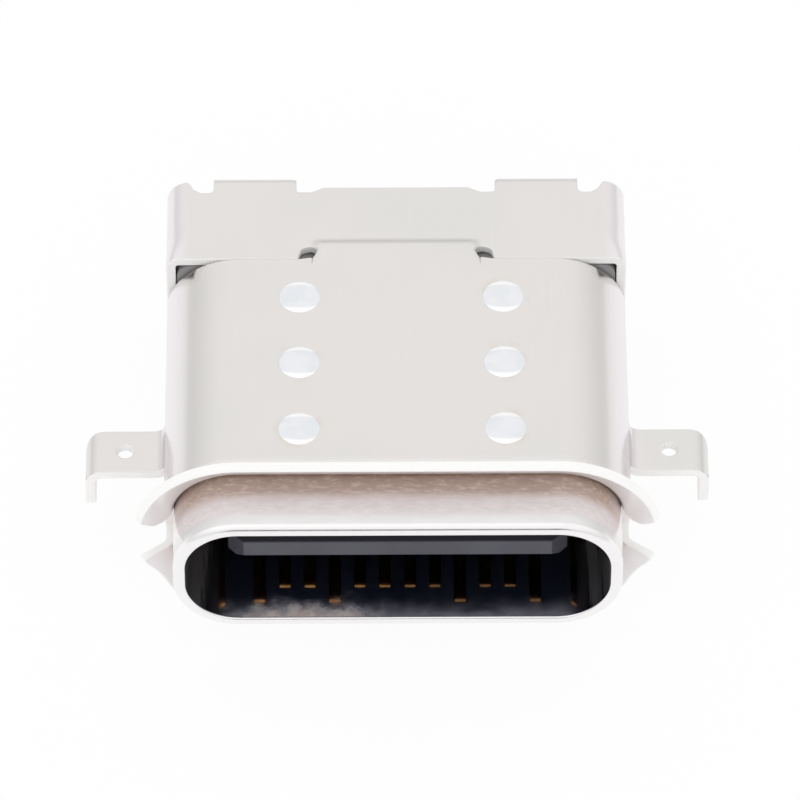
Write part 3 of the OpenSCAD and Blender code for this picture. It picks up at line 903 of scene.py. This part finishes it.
def bore_steel():
    """Inside of the inner shell: polished steel painted darker and bluer as painted shade, with faint draw
    marks and a pale patch of painted light on the floor near the mouth.
    """
    f = Finish("bore_steel")
    x, y, z = f.axes()
    marks = f.noise(3000, 3.0, 0.6, (1, 0.05, 1))
    specks = f.noise(9000, 5.0, 0.7)
    # Painted shade: the inside of the tube is painted darker and bluer than the same steel outside.
    base = f.mottle(marks, 0.35, 0.7, (0.46, 0.52, 0.66), (0.54, 0.60, 0.74))
    near = f.shaken(y, f.noise(2600, 3.0, 0.6), 0.7)
    # Painted light: a pale brown, less metallic patch on the floor near the mouth stands for light falling
    # in.
    mouth_light_patch = f.math("MULTIPLY", f.fade(near, *MOUTH_LIGHT_Y), f.fade(z, *BORE_FLOOR_Z))
    off_spot = f.math("ABSOLUTE", f.math("SUBTRACT", x, MOUTH_LIGHT_X))
    mouth_light_patch = f.math("MULTIPLY", mouth_light_patch, f.remap(off_spot, 0.6, 1.8, 1.0, 0.4))
    side = f.remap(f.math("ABSOLUTE", x), *BORE_SIDE_X)
    side = f.math("MULTIPLY", side, f.remap(marks, 0.35, 0.6, 0.3, 1.0))
    base = f.blend(mouth_light_patch, base, f.mottle(specks, 0.35, 0.65, (0.72, 0.58, 0.52), (0.95, 0.83, 0.78)))
    f.give("Base Color", f.blend(side, base, (0.64, 0.60, 0.58)))
    f.give("Metallic", f.remap(mouth_light_patch, 0.0, 1.0, 1.0, 0.35))
    patch_and_side_roughness = f.math("MAXIMUM", f.math("MULTIPLY", mouth_light_patch, 0.5), f.math("MULTIPLY", side, 0.38))
    f.give("Roughness", f.math("MAXIMUM", patch_and_side_roughness, 0.04))
    f.bump(specks, 0.03, 0.01)
    return f.material


def moulded_black(name, pale, dark, sheen):
    """Glass-filled black moulding with a fine matt texture."""
    f = Finish(name, 0.0)
    _, y, z = f.axes()
    grain = f.noise(16000, 3.0)
    base = f.mottle(f.noise(900, 2.0, 0.5, (1, 0.4, 1)), 0.3, 0.7, dark, pale)
    # Painted shade: darker and less glossy over and under the tongue.
    shade = f.math("MAXIMUM", f.remap(z, *TONGUE_TOP_Z), f.fade(z, *TONGUE_UNDER_Z, 0.45))
    f.give("Specular IOR Level", f.remap(shade, 0.0, 1.0, 0.5, 0.15))
    base = f.blend(shade, base, (0.014, 0.014, 0.020))
    shoulder = f.band(y, *SHOULDER_Y)
    f.give("Base Color", f.blend(shoulder, base, (0.30, 0.295, 0.295)))
    f.uneven(grain, 0.3, 0.7, sheen, sheen + 0.12)
    f.bump(grain, 0.25, 0.01)
    return f.material


def gold_plate():
    """Gold-plated contact. Near the tips it is painted a deeper orange for the glints it shows, and that
    painted glint tint is painted darker towards one side.
    """
    f = Finish("gold_plate")
    x, y, _ = f.axes()
    wear = f.noise(7000, 3.0, 0.6, (1, 0.2, 1))
    # Painted reflection: the tips are painted a deep orange, the colour of their glints.
    glint_tint = f.mottle(wear, 0.35, 0.7, (1.0, 0.43, 0.10), (0.95, 0.35, 0.07))
    # Painted shade: the glint tint is painted darker towards one side, where the glints fade.
    glint_tint = f.blend(f.remap(x, *GLINT_FADE_X, 0.0, 0.7), glint_tint, (0.30, 0.12, 0.04))
    plain = f.mottle(wear, 0.35, 0.7, (0.98, 0.72, 0.34), (0.92, 0.64, 0.28))
    f.give("Base Color", f.blend(f.remap(y, *GLINT_TINT_Y), glint_tint, plain))
    f.uneven(wear, 0.3, 0.7, 0.16, 0.24)
    f.bump(wear, 0.02, 0.01)
    return f.material


def plate_steel():
    """Etched steel of the middle plate and the ground plates."""
    f = Finish("plate_steel")
    grain = f.noise(8000, 3.0, 0.6, (0.1, 1, 1))
    f.give("Base Color", f.mottle(grain, 0.3, 0.7, (0.66, 0.65, 0.63), (0.58, 0.57, 0.56)))
    f.uneven(grain, 0.3, 0.7, 0.28, 0.4)
    f.bump(grain, 0.06, 0.01)
    return f.material


def weld_metal():
    """Remelted metal of the weld spots: smooth, a little bluer than the sheet, with painted highlights at
    both ends.
    """
    f = Finish("weld_metal")
    x, y, _ = f.axes()
    ripple = f.noise(2200, 2.0)
    base = f.mottle(ripple, 0.35, 0.65, (0.80, 0.82, 0.85), (0.85, 0.86, 0.885))
    # Painted highlight: near-white crescents at the front and rear ends of each spot.
    edge = f.math("ADD", spot_distance(f, x, y, 0.55), f.math("MULTIPLY", ripple, 0.12))
    f.give("Base Color", f.mottle(edge, 0.72, 0.86, base, (0.99, 0.99, 0.985)))
    f.uneven(ripple, 0.3, 0.7, 0.10, 0.16)
    f.bump(ripple, 0.08, 0.04)
    return f.material


# ---- Geometry Nodes
class Recipe(Nodes):
    """A Geometry Nodes tree built step by step, with named inputs."""

    def __init__(self, name, inputs):
        super().__init__(bpy.data.node_groups.new(name, "GeometryNodeTree"))
        self.socket("Geometry", "Geometry", "INPUT")
        self.keys = {label: self.socket(label, kind, "INPUT") for label, kind in inputs.items()}
        self.socket("Geometry", "Geometry", "OUTPUT")
        self.given = self.tree.nodes.new("NodeGroupInput").outputs
        self.end = self.tree.nodes.new("NodeGroupOutput")

    def socket(self, label, kind, in_out):
        """Adds an input or output to the tree and tells its identifier."""
        made = self.tree.interface.new_socket(label, in_out=in_out, socket_type="NodeSocket" + kind)
        return made.identifier

    def vector(self, **parts):
        return self.node("ShaderNodeCombineXYZ", parts).outputs[0]

    def row(self, count, start, step):
        wires = {"Count": count, "Start Location": start, "Offset": step}
        return self.node("GeometryNodeMeshLine", wires).outputs[0]

    def finish(self, points, instance):
        """Puts the instance on every point, makes it real and gives it the finish."""
        placed = self.node("GeometryNodeInstanceOnPoints", {"Points": points, "Instance": instance})
        real = self.node("GeometryNodeRealizeInstances", {"Geometry": placed.outputs[0]})
        wires = {"Geometry": real.outputs[0], "Material": self.given["Finish"]}
        self.feed(self.end.inputs[0], self.node("GeometryNodeSetMaterial", wires).outputs[0])

    def make(self, name, base, values):
        """Runs the tree on a mesh and returns the result as a plain mesh piece."""
        carrier = linked(name + "_carrier", base)
        modifier = carrier.modifiers.new("recipe", "NODES")
        modifier.node_group = self.tree
        for label, value in values.items():
            modifier[self.keys[label]] = value
        graph = bpy.context.evaluated_depsgraph_get()
        mesh = bpy.data.meshes.new_from_object(carrier.evaluated_get(graph), depsgraph=graph)
        mesh.name = name
        carrier.modifiers.remove(modifier)
        bpy.data.objects.remove(carrier)
        return linked(name, mesh)


def contact_recipe():
    """A row of bent strips along the carrier's own line. The picks keep long or short, odd or even ones."""
    names = ("Pitch", "Width", "Thickness", "Bend radius", "Long ones", "Odd ones", "Both")
    r = Recipe("contact_row", {"Count": "Int", **dict.fromkeys(names, "Float"), "Finish": "Material"})
    given = r.given
    line = r.node("GeometryNodeMeshToCurve", {"Mesh": given["Geometry"]}).outputs[0]
    wires = {"Curve": line, "Radius": given["Bend radius"], "Count": 5}
    bent = r.node("GeometryNodeFilletCurve", wires, mode="POLY").outputs[0]
    wires = {"Width": given["Width"], "Height": given["Thickness"]}
    section = r.node("GeometryNodeCurvePrimitiveQuadrilateral", wires).outputs[0]
    wires = {"Curve": section, "Radius": r.math("MULTIPLY", given["Thickness"], 0.2), "Count": 2}
    soft = r.node("GeometryNodeFilletCurve", wires, mode="POLY").outputs[0]
    wires = {"Curve": bent, "Profile Curve": soft, "Fill Caps": True}
    strip = r.node("GeometryNodeCurveToMesh", wires).outputs[0]
    last = r.math("SUBTRACT", given["Count"], 1.0)
    first_x = r.math("MULTIPLY", r.math("MULTIPLY", last, given["Pitch"]), -0.5)
    row = r.row(given["Count"], r.vector(X=first_x), r.vector(X=given["Pitch"]))
    # Counted from the nearer end, every third contact is a long one.
    index = r.node("GeometryNodeInputIndex").outputs[0]
    from_end = r.math("MINIMUM", index, r.math("SUBTRACT", last, index))
    is_long = r.math("LESS_THAN", r.math("MODULO", from_end, 3.0), 0.5)
    wrong_length = r.math("ABSOLUTE", r.math("SUBTRACT", is_long, given["Long ones"]))
    other = r.math("ABSOLUTE", r.math("SUBTRACT", r.math("MODULO", index, 2.0), given["Odd ones"]))
    other = r.math("MULTIPLY", other, r.math("SUBTRACT", 1.0, given["Both"]))
    wires = {0: r.math("ADD", wrong_length, other), 1: 0.5}
    drop = r.node("FunctionNodeCompare", wires, operation="GREATER_THAN").outputs[0]
    kept = r.node("GeometryNodeDeleteGeometry", {"Geometry": row, "Selection": drop}).outputs[0]
    r.finish(kept, strip)
    return r


def weld_recipe():
    """Two rows of low round buttons with flat tops and rounded shoulders."""
    sizes = dict.fromkeys(("Row distance", "Pitch", "Radius", "Height"), "Float")
    r = Recipe("weld_spots", {"Per row": "Int", **sizes, "First spot": "Vector", "Finish": "Material"})
    given = r.given
    ball = r.node("GeometryNodeMeshUVSphere", {"Segments": 56, "Rings": 28, "Radius": 1.0}).outputs[0]
    place = r.node("GeometryNodeInputPosition").outputs[0]
    x, y, z = r.node("ShaderNodeSeparateXYZ", {0: place}).outputs
    across = r.math("SQRT", r.math("ADD", r.math("MULTIPLY", x, x), r.math("MULTIPLY", y, y)))
    flat = r.math("SUBTRACT", 1.0, r.math("POWER", across, 3.0))
    flat = r.math("POWER", r.math("MAXIMUM", flat, 0.0), 0.7)
    shaped = r.vector(X=x, Y=y, Z=r.math("MULTIPLY", r.math("SIGN", z), flat))
    scale = r.vector(X=given["Radius"], Y=given["Radius"], Z=given["Height"])
    sized = r.node("ShaderNodeVectorMath", {0: shaped, 1: scale}, operation="MULTIPLY").outputs[0]
    spot = r.node("GeometryNodeSetPosition", {"Geometry": ball, "Position": sized}).outputs[0]
    smooth = r.node("GeometryNodeSetShadeSmooth", {"Geometry": spot, "Shade Smooth": True}).outputs[0]
    row = r.row(given["Per row"], given["First spot"], r.vector(Y=given["Pitch"]))
    wires = {"Geometry": row, "Translation": r.vector(X=given["Row distance"])}
    second = r.node("GeometryNodeTransform", wires).outputs[0]
    both = r.node("GeometryNodeJoinGeometry")
    r.feed(both.inputs[0], row)
    r.feed(both.inputs[0], second)
    r.finish(both.outputs[0], smooth)
    return r


def path_mesh(name, points):
    """A line through points given as (depth, height) in millimetres."""
    mesh = bpy.data.meshes.new(name)
    places = [(0.0, y * MM, z * MM) for y, z in points]
    mesh.from_pydata(places, [(k, k + 1) for k in range(len(places) - 1)], [])
    return mesh


def facet_shading(piece, degrees):
    """Smooth shading that breaks at real edges."""
    mesh = piece.data
    mesh.polygons.foreach_set("use_smooth", np.ones(len(mesh.polygons), dtype=bool))
    mesh.set_sharp_from_angle(angle=math.radians(degrees))


# ---- build
shell = stamped_shell("outer_shell_sheet", bright_sheet(), cut_edge())
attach(shell, "root")
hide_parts("outer_shell")

tube = drawn_tube("inner_shell_tube", [drawn_steel(), bore_steel()])
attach(tube, "root")
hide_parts("inner_shell")

spots = weld_recipe().make(
    "weld_spots",
    bpy.data.meshes.new("weld_base"),
    {
        "Per row": WELD_COUNT,
        "Row distance": WELD_SPAN * MM,
        "Pitch": WELD_PITCH * MM,
        "Radius": WELD_D / 2 * MM,
        "Height": WELD_H * MM,
        "First spot": ((WELD_SHIFT - WELD_SPAN / 2) * MM, WELD_FRONT * MM, SHELL_TOP * MM),
        "Finish": weld_metal(),
    },
)
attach(spots, "root")

CONTACT_ROW = contact_recipe()
GOLD_FINISH = gold_plate()


def contact_row(name, path, long_ones, odd_ones, numbers, level):
    """One pick of a contact row, which stands for the contacts with these numbers."""
    values = {
        "Count": CONTACT_COUNT,
        "Pitch": PITCH * MM,
        "Width": CONTACT_W * MM,
        "Thickness": CONTACT_T * MM,
        "Bend radius": CONTACT_T * MM,
        "Long ones": long_ones,
        "Odd ones": odd_ones or 0.0,
        "Both": 1.0 if odd_ones is None else 0.0,
        "Finish": GOLD_FINISH,
    }
    piece = CONTACT_ROW.make(name, path_mesh(name + "_path", path), values)
    facet_shading(piece, 35)
    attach(piece, "root")
    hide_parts(*[f"{level}_contact_{n}" for n in numbers])


def bent_tip(tip, side):
    """The front of a contact: it rises out of the tongue and turns back along its face."""
    middle = tip + CONTACT_T / 2
    return [(middle, side * (CONTACT_Z - TIP_RISE)), (middle, side * CONTACT_Z)]


TAIL_DROP = BLOCK_REAR + CONTACT_T / 2
TAIL = [(TAIL_DROP, CONTACT_Z), (TAIL_DROP, FOOT_Z), (TAIL_END, FOOT_Z)]
# The lower strips rise at 45 degrees from the tongue's underside to their feet, up to the block.
STEP_END = BLOCK_FRONT - CONTACT_T
STEP = [(STEP_END - (CONTACT_Z + FOOT_Z), -CONTACT_Z), (STEP_END, FOOT_Z)]
KINDS = (("long", LONG_TIP, 1.0, LONG_NUMBERS), ("short", SHORT_TIP, 0.0, SHORT_NUMBERS))
for kind, tip, long_ones, numbers in KINDS:
    contact_row(f"upper_{kind}_contacts", bent_tip(tip, 1) + TAIL, long_ones, None, numbers, "upper")
for kind, tip, long_ones, numbers in KINDS:
    for pin_name, pin_y, odd_ones in (("rear", PIN_REAR, 0.0), ("front", PIN_FRONT, 1.0)):
        path = bent_tip(tip, -1) + STEP + [(pin_y, FOOT_Z), (pin_y, LEG_BOTTOM)]
        picked = [n for n in numbers if (n - 1) % 2 == odd_ones]
        contact_row(f"lower_{kind}_{pin_name}_contacts", path, long_ones, odd_ones, picked, "lower")

TONGUE_FINISH = moulded_black("black_moulding", (0.078, 0.077, 0.098), (0.060, 0.059, 0.076), 0.30)
INSERT_FINISH = moulded_black("insert_plastic", (0.030, 0.030, 0.033), (0.020, 0.020, 0.023), 0.40)
for finish, node_names in (
    (TONGUE_FINISH, ("tongue_moulding",)),
    (INSERT_FINISH, ("upper_insert", "lower_insert")),
    (plate_steel(), ("middle_plate", "upper_ground_plate", "lower_ground_plate")),
):
    for node_name in node_names:
        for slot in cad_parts[node_name].material_slots:
            slot.material = finish


# ---- floor, light and camera
def floor_paper():
    """White paper: it shows plain white, and keeps a faint shadow."""
    material = bpy.data.materials.new("floor_paper")
    material.use_nodes = True
    n = Nodes(material.node_tree)
    n.tree.nodes.clear()
    ray = n.node("ShaderNodeLightPath").outputs
    seen = n.math("MAXIMUM", ray["Is Camera Ray"], ray["Is Glossy Ray"])
    seen = n.math("MAXIMUM", seen, ray["Is Transmission Ray"])
    matt = n.node("ShaderNodeBsdfDiffuse", {"Color": (0.95, 0.95, 0.95)}).outputs[0]
    glow = n.node("ShaderNodeEmission", {"Strength": 1.0}).outputs[0]
    mix = n.node("ShaderNodeMixShader", {0: n.math("MULTIPLY", seen, 0.94), 1: matt, 2: glow}).outputs[0]
    n.node("ShaderNodeOutputMaterial", {0: mix})
    return material


def level_floor(height, reach):
    """A square floor at this height, all in metres."""
    mesh = bpy.data.meshes.new("floor")
    corners = [(sx * reach, sy * reach, height) for sx, sy in ((-1, -1), (1, -1), (1, 1), (-1, 1))]
    mesh.from_pydata(corners, [], [(0, 1, 2, 3)])
    mesh.materials.append(floor_paper())
    return linked("floor", mesh)


def studio_world():
    """White surround. Shiny metal sees it dim a little towards the horizon, and a dark stand in front."""
    world = bpy.data.worlds.new("studio")
    bpy.context.scene.world = world
    world.use_nodes = True
    n = Nodes(world.node_tree)
    n.tree.nodes.clear()
    way = n.node("ShaderNodeTexCoord").outputs["Generated"]
    rise = n.node("ShaderNodeSeparateXYZ", {0: way}).outputs[2]
    stand = (0.0, -0.988, 0.156)
    toward = n.node("ShaderNodeVectorMath", {0: way, 1: stand}, operation="DOT_PRODUCT").outputs["Value"]
    dark = n.math("MULTIPLY", n.remap(toward, 0.965, 0.99), 0.75)
    level = n.math("MULTIPLY", n.remap(rise, 0.10, 0.74, 0.80, 1.0), n.math("SUBTRACT", 1.0, dark))
    white = (1.0, 1.0, 1.0)
    shiny = n.node("ShaderNodeBackground", {"Color": white, "Strength": level}).outputs[0]
    plain = n.node("ShaderNodeBackground", {"Color": white, "Strength": 1.0}).outputs[0]
    glossy = n.node("ShaderNodeLightPath").outputs["Is Glossy Ray"]
    mix = n.node("ShaderNodeMixShader", {0: glossy, 1: plain, 2: shiny}).outputs[0]
    n.node("ShaderNodeOutputWorld", {0: mix})


def soft_lamp(place, aim, size, watts):
    """A square lamp that shines from one place to another."""
    lamp = bpy.data.lights.new("soft_lamp", "AREA")
    lamp.shape = "SQUARE"
    lamp.size = size
    lamp.energy = watts
    holder = linked("soft_lamp", lamp)
    holder.location = place
    holder.rotation_euler = (Vector(aim) - Vector(place)).to_track_quat("-Z", "Y").to_euler()


def main_camera(aim, distance, elevation, azimuth, lens):
    """The camera, turned towards the aim from this height and side, given in degrees."""
    rise = math.radians(elevation)
    turn = math.radians(azimuth)
    back = Vector((math.sin(turn) * math.cos(rise), -math.cos(turn) * math.cos(rise), math.sin(rise)))
    data = bpy.data.cameras.new("camera")
    data.sensor_width = 36
    data.lens = lens
    data.clip_start = 0.001
    data.clip_end = 10
    camera = linked("camera", data)
    camera.location = Vector(aim) + back * distance
    camera.rotation_euler = (-back).to_track_quat("-Z", "Y").to_euler()
    bpy.context.scene.camera = camera


floor = level_floor(CAD_BOX[0][2], 0.6)
studio_world()
soft_lamp((-0.10, -0.02, 0.30), (0, 0.004, 0), 0.30, 0.02)
main_camera((0.000065, 0.00456, 0.0), 0.150, 49.9, -0.31, 337.3)
bpy.context.scene.view_settings.view_transform = "Standard"
